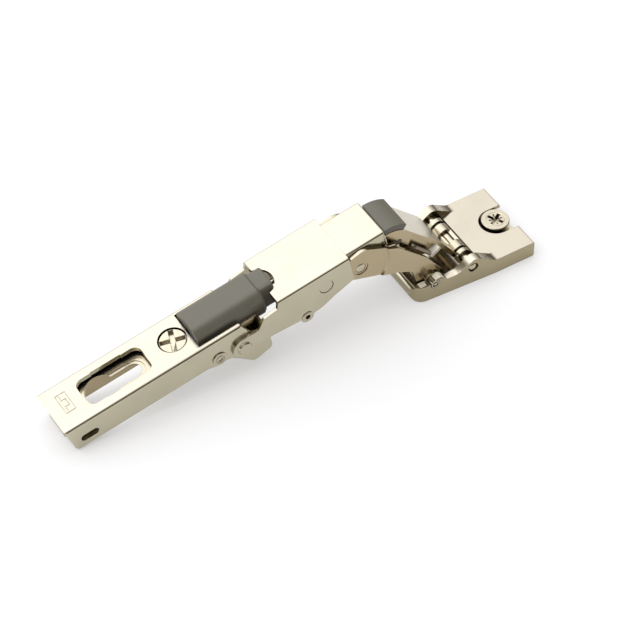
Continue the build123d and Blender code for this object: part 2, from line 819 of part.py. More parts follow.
foot_reach = (Vector(*inner_foot) - Vector(*inner_pivot)).length
eye_reach = foot_reach + inner_foot_slot / 2
lever_shape = [
    (35.2, 7.2),
    (41.6, 8.3),
    (51.6, 1.3),
    (59.2, -9.6),
    (61.6, -15.2),
    beside_run(eye_reach + lever_eye_radius, -lever_eye_radius),
    beside_run(eye_reach + lever_eye_radius, lever_eye_radius),
    beside_run(foot_reach - lever_eye_radius, lever_eye_radius),
    (54.0, -11.6),
    (49.2, -8.0),
    (42.2, -4.2),
    (36.2, -0.9),
]
lever_corners = [2.4, 4.5, 6.0, 6.0, 1.0, 2.7, 2.7, 1.2, 3.0, 6.0, 6.0, 1.6]
with BuildPart() as inner_lever:
    for side in (1, -1):
        lever_plate = outline(leaf_side.offset(side * lever_inner), lever_shape, lever_corners)
        extrude(lever_plate, amount=side * (set_outer - lever_inner))
    # the plate inside the cover lies closer in than the rest
    for side in (1, -1):
        with BuildSketch(leaf_side.offset(side * lever_outer)):
            with Locations(inner_pivot):
                Circle(lever_step_radius)
        extrude(amount=side * lever_sheet, mode=Mode.SUBTRACT)
        with BuildSketch(leaf_side.offset(side * lever_inner)):
            with Locations(inner_pivot):
                Circle(4 * lever_step_radius)
                Circle(lever_step_radius, mode=Mode.SUBTRACT)
        extrude(amount=side * lever_step, mode=Mode.SUBTRACT)
    with BuildSketch(leaf_side):
        with BuildLine():
            Polyline(
                beside_run(bridge_start, lever_eye_radius),
                beside_run(bridge_end, lever_eye_radius),
                beside_run(bridge_end, lever_eye_radius - lever_bridge),
                beside_run(bridge_start, lever_eye_radius - lever_bridge),
                close=True,
            )
        make_face()
    extrude(amount=set_outer - slip_gap, both=True)
    drill_across(inner_pivot, pin_radius + running_gap, arm_width)
    with BuildSketch(leaf_side):
        with Locations(beside_run(eye_reach, 0)):
            SlotCenterToCenter(inner_foot_slot, 2 * (pin_radius + eye_slack), rotation=foot_angle)
    extrude(amount=arm_width, both=True, mode=Mode.SUBTRACT)
save(inner_lever.part, "inner_lever")

with BuildPart() as inner_rivets:
    for side in (1, -1):
        with BuildSketch(leaf_side.offset(side * channel_inner_half)):
            with Locations(inner_pivot):
                Circle(pin_radius)
        extrude(amount=side * (lever_outer - channel_inner_half))
save(inner_rivets.part, "inner_rivets")

# ---------------------------------------------------------------- door housing
foot_spot = leaf_point(inner_foot)
housing_half = housing_width / 2
nose_half = housing_nose_width / 2
taper_per_length = (housing_half - nose_half) / (shoulder_end - housing_rear)
front_middle = (pocket_front + housing_front) / 2
upright = Plane.XZ


def wall_reach(place):
    """Outside face of the housing's side wall at a distance from the outer foot."""
    return nose_half + (place - housing_rear) * taper_per_length


def plan_outline(inset):
    """Plan of the housing, set in by a distance."""
    return [
        (housing_front + 1, housing_half - inset),
        (shoulder_end, housing_half - inset),
        (housing_rear + inset, nose_half - inset),
        (housing_rear + inset, inset - nose_half),
        (shoulder_end, inset - housing_half),
        (housing_front + 1, inset - housing_half),
    ]


def rod_between_walls(x, z, radius, half_width):
    """Round bar across the housing."""
    with BuildSketch(upright) as round_end:
        with Locations((x, z)):
            Circle(radius)
    extrude(round_end.sketch, amount=half_width, both=True)


def drill_walls(x, z, radius):
    """Hole across the housing."""
    with BuildSketch(upright) as round_end:
        with Locations((x, z)):
            Circle(radius)
    extrude(round_end.sketch, amount=housing_width, both=True, mode=Mode.SUBTRACT)


wall_profile = [
    (housing_rear, 0),
    (housing_front, 0),
    (housing_front, housing_height),
    (shoulder_end + 1.2, housing_height),
    (cheek_middle + 2.6, cheek_peak),
    (cheek_middle - 1.8, cheek_peak),
    (foot_spot.X + 2.2 * foot_boss, cheek_dip),
    (foot_spot.X + foot_boss, cheek_dip),
    (foot_spot.X + foot_boss - 0.9, boss_height),
    (foot_spot.X - foot_boss + 0.9, boss_height),
    (foot_spot.X - foot_boss, housing_nose_height + 0.4),
    (housing_rear, housing_nose_height),
]
wall_corners = [2.2, 0.6, 0.5, 2.5, 2.4, 2.6, 1.5, 0.4, 0.8, 0.8, 0.4, 1.6]
plan_corners = [0, 0, nose_corner, nose_corner, 0, 0]
inner_corners = [0, 0, nose_corner - housing_wall, nose_corner - housing_wall, 0, 0]
pocket_half = wall_reach(foot_spot.X) - pocket_wall
with BuildPart() as door_housing:
    with BuildSketch(upright):
        with BuildLine():
            FilletPolyline(*wall_profile, radius=wall_corners, close=True)
        make_face()
    extrude(amount=housing_width, both=True)
    plan = outline(Plane.XY, plan_outline(0), plan_corners)
    extrude(plan, amount=2 * cheek_peak, mode=Mode.INTERSECT)
    # lever pocket, open at the top
    pocket = outline(Plane.XY.offset(housing_floor), plan_outline(housing_wall), inner_corners)
    with BuildSketch(Plane.XY.offset(housing_floor)):
        add(pocket)
        with Locations((pocket_front + housing_width, 0)):
            Rectangle(2 * housing_width, 2 * housing_width, mode=Mode.SUBTRACT)
        for side in (1, -1):
            with Locations((foot_spot.X + foot_boss, side * (pocket_half + housing_width / 2))):
                Rectangle(2 * housing_width, housing_width, mode=Mode.SUBTRACT)
    extrude(amount=2 * cheek_peak, mode=Mode.SUBTRACT)
    # open underneath and above the top plate
    with BuildSketch(Plane.XY):
        with Locations((pocket_front + housing_wall + housing_width, 0)):
            Rectangle(2 * housing_width, housing_width - 2 * housing_wall)
    extrude(amount=housing_height - housing_wall, mode=Mode.SUBTRACT)
    with BuildSketch(Plane.XY.offset(housing_height)):
        with Locations((pocket_front + housing_width - 1, 0)):
            Rectangle(2 * housing_width, 2 * pocket_half)
    extrude(amount=2 * cheek_peak, mode=Mode.SUBTRACT)
    with BuildSketch(Plane.XY.offset(housing_height)):
        with Locations((cam_place, 0)):
            Circle(cam_notch_radius)
        with Locations((cam_place + cam_notch_radius, 0)):
            Rectangle(2 * cam_notch_radius, 2 * cam_notch_radius)
    extrude(amount=-2 * housing_wall, mode=Mode.SUBTRACT)
    drill_walls(0, foot_height, pin_radius)
    drill_walls(foot_spot.X, foot_spot.Z, pin_radius)
save(door_housing.part, "door_housing")

with BuildPart() as outer_foot_pin:
    rod_between_walls(0, foot_height, pin_radius, wall_reach(pin_head_radius))
    for side in (1, -1):
        with BuildSketch(upright.offset(side * wall_reach(pin_head_radius))):
            with Locations((0, foot_height)):
                Circle(pin_head_radius)
        extrude(amount=side * rivet_head_height, taper=35)
save(outer_foot_pin.part, "outer_foot_pin")

with BuildPart() as inner_foot_pin:
    rod_between_walls(foot_spot.X, foot_spot.Z, pin_radius, wall_reach(foot_spot.X + pin_head_radius))
    for side in (1, -1):
        with BuildSketch(upright.offset(side * wall_reach(foot_spot.X + pin_head_radius))):
            with Locations((foot_spot.X, foot_spot.Z)):
                Circle(pin_head_radius)
        extrude(amount=side * rivet_head_height)
    drill_walls(foot_spot.X, foot_spot.Z, hollow_radius)
save(inner_foot_pin.part, "inner_foot_pin")

with BuildPart() as spacer_rings:
    for side in (1, -1):
        with BuildSketch(upright.offset(side * (outer_half + slip_gap))):
            with Locations((0, foot_height)):
                Circle(spacer_radius)
                Circle(pin_radius + running_gap, mode=Mode.SUBTRACT)
        extrude(amount=side * spacer_width)
save(spacer_rings.part, "spacer_rings")

bush_start = set_outer + slip_gap
bush_end = pocket_half - slip_gap
with BuildPart() as foot_bushes:
    for side in (1, -1):
        with BuildSketch(upright.offset(side * bush_start)):
            with Locations((foot_spot.X, foot_spot.Z)):
                Circle(bush_radius)
                Circle(pin_radius + running_gap, mode=Mode.SUBTRACT)
        extrude(amount=side * (bush_end - bush_start))
save(foot_bushes.part, "foot_bushes")

# ---------------------------------------------------------------- cam screw and its plate
with BuildPart() as cam_plate:
    with BuildSketch(Plane.XY.offset(cam_floor)):
        with Locations(((cam_plate_rear + housing_front) / 2 - 0.2, 0)):
            Rectangle(
                housing_front - cam_plate_rear - 0.4,
                housing_width - 2 * housing_wall - 2 * seat_gap,
            )
        with Locations((cam_place, 0)):
            Circle(cam_neck_radius + running_gap, mode=Mode.SUBTRACT)
    extrude(amount=-cam_plate_sheet)
save(cam_plate.part, "cam_plate")

with BuildPart() as cam_screw:
    with BuildSketch(Plane.XY.offset(cam_head_top)):
        with Locations((cam_place, 0)):
            Circle(cam_head_radius)
    extrude(amount=-(cam_head_top - cam_floor - slip_gap))
    with BuildSketch(Plane.XY.offset(cam_head_top - cam_head_height)):
        with Locations((cam_place, 0)):
            Circle(cam_neck_radius)
    extrude(amount=-(cam_head_top - cam_head_height - cam_disc_floor))
    with BuildSketch(Plane.XY.offset(cam_disc_floor)):
        with Locations((cam_place + cam_throw, 0)):
            Circle(cam_disc_radius)
    extrude(amount=cam_floor - cam_plate_sheet - slip_gap - cam_disc_floor)
    with BuildSketch(Plane.XY.offset(cam_head_top)):
        with Locations((cam_place, 0)):
            Rectangle(cam_cross_length, cam_cross_width, rotation=30)
            Rectangle(cam_cross_length, cam_cross_width, rotation=120)
    extrude(amount=-cam_cross_depth, mode=Mode.SUBTRACT)
save(cam_screw.part, "cam_screw")
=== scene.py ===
import json
from math import cos, radians, sin

import bmesh
import bpy
from mathutils import Matrix, Vector


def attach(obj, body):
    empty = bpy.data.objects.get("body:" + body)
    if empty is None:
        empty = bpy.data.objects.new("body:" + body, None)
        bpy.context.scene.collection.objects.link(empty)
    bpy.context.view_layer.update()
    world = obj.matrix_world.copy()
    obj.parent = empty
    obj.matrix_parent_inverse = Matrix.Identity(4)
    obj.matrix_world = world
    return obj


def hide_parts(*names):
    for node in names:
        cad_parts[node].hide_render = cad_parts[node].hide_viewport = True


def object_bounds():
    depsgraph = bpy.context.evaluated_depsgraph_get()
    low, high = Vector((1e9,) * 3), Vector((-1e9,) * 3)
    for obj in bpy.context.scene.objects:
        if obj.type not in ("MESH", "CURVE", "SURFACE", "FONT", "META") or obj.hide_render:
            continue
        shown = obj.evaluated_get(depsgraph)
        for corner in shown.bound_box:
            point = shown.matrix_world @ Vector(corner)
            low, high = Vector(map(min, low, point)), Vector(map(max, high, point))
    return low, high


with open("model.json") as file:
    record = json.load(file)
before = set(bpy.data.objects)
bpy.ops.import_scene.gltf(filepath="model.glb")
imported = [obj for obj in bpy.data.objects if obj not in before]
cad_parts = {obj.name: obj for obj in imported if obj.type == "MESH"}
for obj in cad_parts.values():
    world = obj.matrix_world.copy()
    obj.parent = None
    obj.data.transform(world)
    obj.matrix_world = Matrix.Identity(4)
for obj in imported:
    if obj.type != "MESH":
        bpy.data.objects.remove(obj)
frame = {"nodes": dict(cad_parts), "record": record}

CAD_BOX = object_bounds()
MM = 0.001
RECORD = frame["record"]
SLOTS = {entry["node"]: entry["material_slot"] for entry in RECORD["subparts"]}
BODIES = {
    node: body
    for body, nodes in RECORD["behaviour"]["bodies"].items()
    for node in nodes
}

# the leaf's own directions: along the arm, and square to its top face
TILT = radians(11.4)
FOOT = (70.8, -20.2)
FOOT_HEIGHT = 6.1
ALONG = Vector((cos(TILT), 0, sin(TILT)))
SQUARE = Vector((-sin(TILT), 0, cos(TILT)))
EAR = Vector((0, 0, FOOT_HEIGHT)) - ALONG * FOOT[0] - SQUARE * FOOT[1]


# ------------------------------------------------------------------ places and points, from millimetres
def leaf(along, square, across=0.0):
    """Point on the leaf, for outlines seen from the side."""
    return (EAR + ALONG * along + SQUARE * square + Vector((0, across, 0))) * MM


def deck(along, across, square):
    """Point on the leaf, for outlines seen from above."""
    return leaf(along, square, across)


def crosswise(across, square, along):
    """Point on the leaf, for outlines seen along the arm."""
    return leaf(along, square, across)


def upright(x, z, y=0.0):
    """Point in the world, for outlines seen from the side."""
    return Vector((x, y, z)) * MM


def level(x, y, z):
    """Point in the world, for outlines seen from above."""
    return Vector((x, y, z)) * MM


def polar(centre, radius, angle):
    """Place in an outline at a radius and an angle from a centre."""
    return (centre[0] + radius * cos(radians(angle)), centre[1] + radius * sin(radians(angle)))


# ------------------------------------------------------------------ shader maths
class Value:
    """A socket that adds Math nodes when it is used in an expression."""

    def __init__(self, graph, socket):
        self.graph = graph
        self.socket = socket

    def math(self, operation, other):
        return self.graph.add("ShaderNodeMath", {0: self, 1: other}, operation=operation)

    def __add__(self, other):
        return self.math("ADD", other)

    def __mul__(self, other):
        return self.math("MULTIPLY", other)

    __radd__ = __add__
    __rmul__ = __mul__

    def largest(self, other):
        return self.math("MAXIMUM", other)

    def ramp(self, start, end):
        """0 below start, 1 above end, and smooth between them."""
        return self.graph.add(
            "ShaderNodeMapRange",
            {0: self, 1: start, 2: end, 3: 0.0, 4: 1.0},
            interpolation_type="SMOOTHSTEP",
        )


class Graph:
    """A node tree that is filled node by node."""

    def __init__(self, tree):
        self.tree = tree

    def add(self, kind, inputs, output=0, stops=(), **settings):
        """New node with its settings and a ramp's stops, then the values or links of its sockets."""
        node = self.tree.nodes.new(kind)
        for name, value in settings.items():
            setattr(node, name, value)
        for index, (position, colour) in enumerate(stops):
            elements = node.color_ramp.elements
            stop = elements[index] if index < len(elements) else elements.new(position)
            stop.position = position
            stop.color = colour
        for key, value in inputs.items():
            if isinstance(value, Value):
                self.tree.links.new(value.socket, node.inputs[key])
            else:
                node.inputs[key].default_value = value
        return Value(self, node.outputs[output]) if node.outputs else None


class Finish(Graph):
    """One material."""

    def __init__(self, name):
        self.material = bpy.data.materials.new(name)
        self.material.use_nodes = True
        super().__init__(self.material.node_tree)
        self.shader = self.tree.nodes["Principled BSDF"]
        self.coordinates = self.add("ShaderNodeTexCoord", {}, output="Object")
        self.facing = Value(self, self.coordinates.socket.node.outputs["Normal"])

    def noise(self, scale, detail):
        """Soft noise; scale is in cells to the metre."""
        return self.add(
            "ShaderNodeTexNoise",
            {"Vector": self.coordinates, "Scale": scale, "Detail": detail, "Roughness": 0.5},
        )

    def mix(self, factor, first, second, times=None):
        """Colour between two colours, multiplied by another if one is given."""
        blend = self.add(
            "ShaderNodeMix",
            {0: factor, 6: self.rgba(first), 7: self.rgba(second)},
            output=2,
            data_type="RGBA",
        )
        if times is None:
            return blend
        return self.add(
            "ShaderNodeMix",
            {0: 1.0, 6: blend, 7: times},
            output=2,
            data_type="RGBA",
            blend_type="MULTIPLY",
        )

    def rgba(self, colour):
        return colour if isinstance(colour, Value) else (*colour, 1.0)

    def edges(self, radius):
        """Normal that turns over a small radius where two faces meet."""
        return self.add("ShaderNodeBevel", {"Radius": radius}, samples=4)

    def bump(self, height, distance, strength, normal):
        return self.add(
            "ShaderNodeBump",
            {"Height": height, "Distance": distance, "Strength": strength, "Normal": normal},
        )

    def feed(self, socket, value):
        if isinstance(value, Value):
            self.tree.links.new(value.socket, self.shader.inputs[socket])
        else:
            self.shader.inputs[socket].default_value = value


SEAM_SHADE = (0.07, 0.055, 0.035)        # painted shade in seams and deep recesses
SEAM_REACH = 0.0016                 # how far the painted seam shade reaches, in metres
OPEN_REACH = 0.004                  # and an opening


def nickel(name, face, wall, dull=0.2, mottle=0.05, seam_shade=SEAM_SHADE, sheen=1.0, reach=SEAM_REACH):
    """Nickel plate with painted light and shade: a lit face colour on faces that point up, a shaded wall
    colour on walls, and painted shade in seams and recesses.
    """
    finish = Finish(name)
    cloud = finish.noise(90.0, 3.0)
    # painted light and shade: faces that point up take the lit face colour, walls the darker wall colour
    turn = finish.add("ShaderNodeSeparateXYZ", {0: finish.facing}, output="Z")
    plate = finish.mix(turn.ramp(0.2, 0.8), wall, face)
    plate = finish.mix(cloud.ramp(0.35, 0.65), (1 - mottle,) * 3, (1.0, 1.0, 1.0), plate)
    # painted shade: the colour darkens towards the seam shade where ambient occlusion finds seams and
    # recesses
    open_air = finish.add("ShaderNodeAmbientOcclusion", {"Distance": reach}, output="AO", samples=8)
    finish.feed("Base Color", finish.mix(open_air.ramp(0.08, 0.62), seam_shade, plate))
    finish.feed("Metallic", sheen)
    finish.feed("Roughness", cloud * 0.06 + (dull - 0.03))
    finish.feed("Normal", finish.edges(0.00015))
    return finish.material


def wire_steel(name, colour, dull):
    """Drawn spring wire with an oily film."""
    finish = Finish(name)
    film = finish.noise(900.0, 2.0)
    finish.feed("Base Color", finish.mix(film, tuple(part * 0.6 for part in colour), colour))
    finish.feed("Metallic", 1.0)
    finish.feed("Roughness", film * 0.15 + dull)
    return finish.material


def moulded(name, colour, dull=0.42):
    """Moulded plastic with a fine spark-eroded grain."""
    finish = Finish(name)
    grain = finish.noise(4200.0, 2.0)
    cloud = finish.noise(120.0, 2.0)
    finish.feed("Base Color", finish.mix(cloud, tuple(part * 0.88 for part in colour), colour))
    finish.feed("Roughness", grain * 0.12 + dull)
    finish.feed("Normal", finish.bump(grain, 0.00003, 0.6, finish.edges(0.0002)))
    return finish.material


# in each nickel the first colour is painted light on faces that point up, the second is painted shade on
# walls, and the seam shade is painted shade in recesses
FINISHES = {
    "nickel_bright": nickel("bright_nickel", (0.62, 0.575, 0.475), (0.50, 0.465, 0.345), reach=OPEN_REACH),
    "nickel_lever": nickel("lever_nickel", (0.58, 0.525, 0.41), (0.43, 0.355, 0.225)),
    "nickel_cast": nickel("housing_nickel", (0.60, 0.55, 0.455), (0.37, 0.32, 0.205)),
    # painted highlight: a near-white, barely metallic copy of the nickel for the stop tabs
    "tab_highlight_nickel": nickel(
        "tab_highlight_nickel", (1.0, 0.97, 0.88), (0.6, 0.52, 0.4), 0.45, 0.0, (0.7, 0.65, 0.55), 0.1
    ),
    # a lighter, barely metallic copy of the housing nickel for its blocks: painted light on their tops and
    # painted shade on their walls
    "block_lit_nickel": nickel(
        "block_lit_nickel", (0.9, 0.85, 0.72), (0.34, 0.30, 0.20), 0.42, 0.0, (0.4, 0.35, 0.25), 0.15
    ),
    "steel_pin": nickel("pin_nickel", (0.58, 0.53, 0.42), (0.50, 0.45, 0.34), 0.16),
    "steel_spring": wire_steel("spring_steel", (0.30, 0.26, 0.20), 0.25),
    "grey_plastic": moulded("grey_moulding", (0.145, 0.138, 0.108)),
    "dark_plastic": moulded("dark_moulding", (0.03, 0.03, 0.028)),
}

# ------------------------------------------------------------------ meshes
STEPS = 56                          # sides of a round outline
WELD = 2e-6                         # corners closer than this are one, in metres
FLAT = 0.4                          # faces closer than this angle are one, in degrees
SHARP = 32.0                        # edges over this angle stay sharp


def smooth_by_angle(mesh):
    """Round faces shade smoothly and keep their sharp edges; flat faces stay whole."""
    work = bmesh.new()
    work.from_mesh(mesh)
    bmesh.ops.remove_doubles(work, verts=work.verts, dist=WELD)
    bmesh.ops.dissolve_limit(
        work, angle_limit=radians(FLAT), verts=work.verts, edges=work.edges, delimit={"NORMAL"}
    )
    for face in work.faces:
        face.smooth = True
    for edge in work.edges:
        edge.smooth = edge.calc_face_angle(0.0) < radians(SHARP)
    work.to_mesh(mesh)
    work.free()


def settled(mesh, tools=(), operation="DIFFERENCE", weighted=False):
    """Plain mesh after cuts by other meshes, or with its normals led by the largest faces."""
    base = bpy.data.objects.new("work", mesh)
    bpy.context.scene.collection.objects.link(base)
    helpers = []
    for tool in tools:
        helper = bpy.data.objects.new("tool", tool)
        bpy.context.scene.collection.objects.link(helper)
        helpers.append(helper)
        cut = base.modifiers.new("cut", "BOOLEAN")
        cut.object = helper
        cut.operation = operation
        cut.solver = "EXACT"
    if weighted:
        lead = base.modifiers.new("lead", "WEIGHTED_NORMAL")
        lead.keep_sharp = True
        lead.weight = 100
    graph = bpy.context.evaluated_depsgraph_get()
    result = bpy.data.meshes.new_from_object(base.evaluated_get(graph))
    for helper in helpers + [base]:
        bpy.data.objects.remove(helper)
    return result


def finished(work, name):
    """Mesh of a finished work."""
    mesh = bpy.data.meshes.new(name)
    work.to_mesh(mesh)
    work.free()
    return mesh


def prism(points, start, end, at=leaf):
    """Closed outline drawn out between two distances."""
    work = bmesh.new()
    first = [work.verts.new(at(a, b, start)) for a, b in points]
    last = [work.verts.new(at(a, b, end)) for a, b in points]
    work.faces.new(first)
    work.faces.new(reversed(last))
    for index in range(len(points)):
        work.faces.new((first[index], first[index - 1], last[index - 1], last[index]))
    bmesh.ops.recalc_face_normals(work, faces=work.faces)
    return finished(work, "prism")


def both_sides(points, inside, outside, at=leaf):
    """The same outline drawn out on each side, between two distances across."""
    return [prism(points, side * inside, side * outside, at) for side in (-1, 1)]


def circle(centre, radius):
    """Round outline."""
    return [polar(centre, radius, 360 * step / STEPS) for step in range(STEPS)]


def disc(centre, radius, start, end, at=leaf):
    """Round bar between two distances."""
    return prism(circle(centre, radius), start, end, at)


def turned(centre, profile, at=leaf, sides=(-1, 1)):
    """Round body from radii and distances across the hinge."""
    work = bmesh.new()
    for side in sides:
        rings = []
        for radius, distance in profile:
            places = circle(centre, radius) if radius else [centre]
            rings.append([work.verts.new(at(*place, side * distance)) for place in places])
        for first, last in zip(rings, rings[1:]):
            for step in range(STEPS):
                corners = [first[step % len(first)], first[(step + 1) % len(first)]]
                corners += [last[(step + 1) % len(last)], last[step % len(last)]]
                work.faces.new(list(dict.fromkeys(corners)))
    bmesh.ops.recalc_face_normals(work, faces=work.faces)
    return finished(work, "turned")


def softened(mesh, width, segments=3, limit=40.0):
    """The same mesh with its sharp edges rounded."""
    work = bmesh.new()
    work.from_mesh(mesh)
    sharp = [edge for edge in work.edges if edge.calc_face_angle(0.0) > radians(limit)]
    bmesh.ops.bevel(
        work,
        geom=sharp,
        offset=width * MM,
        segments=segments,
        affect="EDGES",
        profile=0.5,
        clamp_overlap=True,
    )
    work.to_mesh(mesh)
    work.free()
    return mesh


def together(*meshes):
    """One mesh of several."""
    work = bmesh.new()
    for mesh in meshes:
        work.from_mesh(mesh)
    return finished(work, "joined")


def own_shape(node):
    """Copy of a node's mesh."""
    mesh = frame["nodes"][node].data.copy()
    smooth_by_angle(mesh)
    return mesh


def placed(mesh, name, node, slot=None, replace=True, finish=None):
    """Put a finished piece in the scene, riding on the node's body."""
    smooth_by_angle(mesh)
    mesh = settled(mesh, weighted=True)
    mesh.name = name
    mesh.materials.clear()
    mesh.materials.append(finish or FINISHES[slot or SLOTS[node]])
    piece = bpy.data.objects.new(name, mesh)
    bpy.context.scene.collection.objects.link(piece)
    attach(piece, BODIES[node])
    if replace:
        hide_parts(node)


# ------------------------------------------------------------------ outer lever and its pad
OUTER_PIVOT = (49.8, -2.35)
LEVER_HALF = 6.0
SET_WALL = 5.4                      # outside of the walls below the crease
BELOW_CREASE = [
    (57.5, -0.4), (55.0, -4.4), (53.4, -8.4), (57.0, -16.0), (61.8, -26.2), (68.0, -18.4), (64.2, -11.12),
]
TAB = [(60.7, -11.45), (64.0, -9.95), (64.5, -11.0), (61.2, -12.5)]
TAB_INSIDE = 4.9
TAB_REACH = 7.55
TAB_ROUND = 0.12
PANEL = [(57.2, -1.0), (63.9, -10.9), (61.4, -12.9), (56.2, -7.6), (54.9, -4.4)]
PANEL_INSIDE = 4.85
PANEL_OUTSIDE = 5.35
PANEL_ROUND = 0.1
PAD_START = 91.0                    # angles of the pad's ends round the pivot
PAD_END = 47.0
PAD_INNER = 8.2
PAD_OUTER = 10.1
PAD_HALF = 5.9
PAD_ROUND = 0.75
PAD_ROUND_STEPS = 5
PAD_STEPS = 24

crease_cuts = both_sides(BELOW_CREASE, SET_WALL, LEVER_HALF + 1)
placed(settled(own_shape("outer_lever"), crease_cuts), "lever_body", "outer_lever")
tabs = [softened(mesh, TAB_ROUND) for mesh in both_sides(TAB, TAB_INSIDE, TAB_REACH)]
# the stop tabs wear a near-white copy of the nickel, a painted highlight
placed(together(*tabs), "stop_tabs", "outer_lever", replace=False, finish=FINISHES["tab_highlight_nickel"])
panels = [softened(mesh, PANEL_ROUND) for mesh in both_sides(PANEL, PANEL_INSIDE, PANEL_OUTSIDE)]
placed(together(*panels), "lever_panels", "outer_lever", replace=False)

pad_angles = [PAD_END + (PAD_START - PAD_END) * step / PAD_STEPS for step in range(PAD_STEPS + 1)]
pad_outline = [polar(OUTER_PIVOT, PAD_OUTER, angle) for angle in pad_angles]
pad_outline += [polar(OUTER_PIVOT, PAD_INNER, angle) for angle in reversed(pad_angles)]
placed(softened(prism(pad_outline, -PAD_HALF, PAD_HALF), PAD_ROUND, PAD_ROUND_STEPS), "lever_pad", "bumper")

# ------------------------------------------------------------------ door housing and its rivets
PAST_WALLS = 14.0                   # beyond every side wall, for cuts
OUTER_FOOT = (0.0, 6.1)
INNER_FOOT = (-12.463, 5.693)
SINK_RADIUS = 1.6
SINK_DEPTH = 0.6
WALL_AT_OUTER = 12.46               # outside of the side wall at the outer lever's pin
CHEEK_CUT = [
    (-22.0, -1.0), (22.0, -1.0), (22.0, 5.4), (8.2, 5.4), (7.2, 5.5), (3.9, 7.6), (2.7, 8.4), (1.8, 8.85),
    (0.9, 9.05), (0.1, 9.05), (-0.6, 8.75), (-1.5, 8.15), (-2.5, 7.4), (-3.5, 6.75), (-4.4, 6.3),
    (-5.2, 6.0), (-6.1, 5.85), (-8.6, 5.8), (-9.1, 6.1), (-9.7, 6.8), (-10.4, 7.05), (-11.6, 7.05),
    (-12.4, 6.8), (-13.1, 6.1), (-13.6, 5.9), (-18.0, 5.9), (-18.1, 5.0), (-18.5, 4.85), (-18.95, 4.4),
    (-19.15, 3.8), (-19.3, 3.0), (-22.0, 3.0),
]
REAR_BLOCK = [(-17.0, 0.5), (-13.9, 0.5), (-13.9, 5.85), (-17.0, 5.85)]
REAR_BLOCK_SIDES = (9.15, 11.1)
PIN_WALL = [
    (-13.2, 4.0), (-8.7, 4.0), (-8.7, 5.7), (-9.3, 6.3), (-9.9, 7.1), (-10.7, 7.45), (-11.6, 7.45),
    (-12.4, 7.1), (-13.0, 6.2), (-13.2, 5.7),
]
PIN_WALL_SIDES = (9.3, 11.72)
BLOCK_ROUND = 0.15
OUTER_FOOT_END = [(1.3, 0), (1.3, 11.9), (1.05, 12.2), (0.6, 12.36), (0, 12.42)]
INNER_FOOT_END = [
    (1.35, 0), (1.35, 11.9), (1.3, 11.98), (1.05, 12.0), (0.98, 11.9), (0.98, 11.5), (0.5, 11.5),
    (0.5, 11.85), (0.4, 11.98), (0, 12.0),
]

cheeks = prism(CHEEK_CUT, -PAST_WALLS - 1, PAST_WALLS + 1, upright)
housing = settled(own_shape("door_housing"), [cheeks], "INTERSECT")
sinks = both_sides(circle(OUTER_FOOT, SINK_RADIUS), WALL_AT_OUTER - SINK_DEPTH, PAST_WALLS, upright)
placed(settled(housing, sinks), "housing_shell", "door_housing")
blocks = both_sides(REAR_BLOCK, *REAR_BLOCK_SIDES, upright) + both_sides(PIN_WALL, *PIN_WALL_SIDES, upright)
blocks = together(*[softened(block, BLOCK_ROUND) for block in blocks])
# the blocks take a lighter copy of the housing nickel, with painted light on top and painted shade on the
# walls
placed(blocks, "housing_blocks", "door_housing", replace=False, finish=FINISHES["block_lit_nickel"])
placed(turned(OUTER_FOOT, OUTER_FOOT_END, upright), "outer_foot_rivet", "outer_foot_pin")
placed(turned(INNER_FOOT, INNER_FOOT_END, upright), "inner_foot_rivet", "inner_foot_pin")

# ------------------------------------------------------------------ cover and its rivets
ROCKER_PIN = (27.7, 4.3)
ROCKER_HOLE = 2.25
ROCKER_RIVET = [(1.5, 0), (1.5, 8.3), (2.2, 8.3), (2.2, 8.95), (2.05, 9.05), (0, 9.07)]
COVER_PLACE = (20.0, -2.8)
COVER_HOLE = 1.2
COVER_LUG = 2.1
COVER_INSIDE = 8.3
COVER_SIDE = 9.2
COVER_RIVET = [
    (0.75, 8.3), (1.2, 8.3), (1.2, 9.2), (1.8, 9.2), (1.8, 9.35), (1.65, 9.5), (0.85, 9.5), (0.75, 9.4),
    (0.75, 8.3),
]

cover = settled(own_shape("cover"), [disc(ROCKER_PIN, ROCKER_HOLE, -PAST_WALLS, PAST_WALLS)])
cover = settled(cover, both_sides(circle(COVER_PLACE, COVER_LUG), COVER_INSIDE, COVER_SIDE), "UNION")
cover = settled(cover, [disc(COVER_PLACE, COVER_HOLE, -PAST_WALLS, PAST_WALLS)])
placed(cover, "cover_shell", "cover")
placed(turned(ROCKER_PIN, ROCKER_RIVET), "rocker_rivet", "rocker_pin")
placed(turned(COVER_PLACE, COVER_RIVET), "cover_rivets", "cover", slot="steel_pin", replace=False)

# ------------------------------------------------------------------ inner lever and its upper rivets
INNER_PIVOT = (39.3, 1.75)
PLATE_FACE = 8.2
SEAT_RADIUS = 2.3
SEAT_DEPTH = 0.25
SEAT_OVER = 0.4                     # how far the cut runs out of the plate
PLATE_STEP = [(0, PLATE_FACE), (8.75, PLATE_FACE), (9.3, 8.76), (9.3, 9.4), (0, 9.4)]
UPPER_RIVET = [(0, 6.1), (1.5, 6.1), (1.5, 7.9), (1.3, 8.08), (0.8, 8.17), (0, 8.19)]

seats = both_sides(circle(INNER_PIVOT, SEAT_RADIUS), PLATE_FACE - SEAT_DEPTH, PLATE_FACE + SEAT_OVER)
plate_step = turned(INNER_PIVOT, PLATE_STEP)
placed(settled(own_shape("inner_lever"), seats + [plate_step]), "inner_lever_body", "inner_lever")
placed(turned(INNER_PIVOT, UPPER_RIVET), "inner_rivet_heads", "inner_rivets")

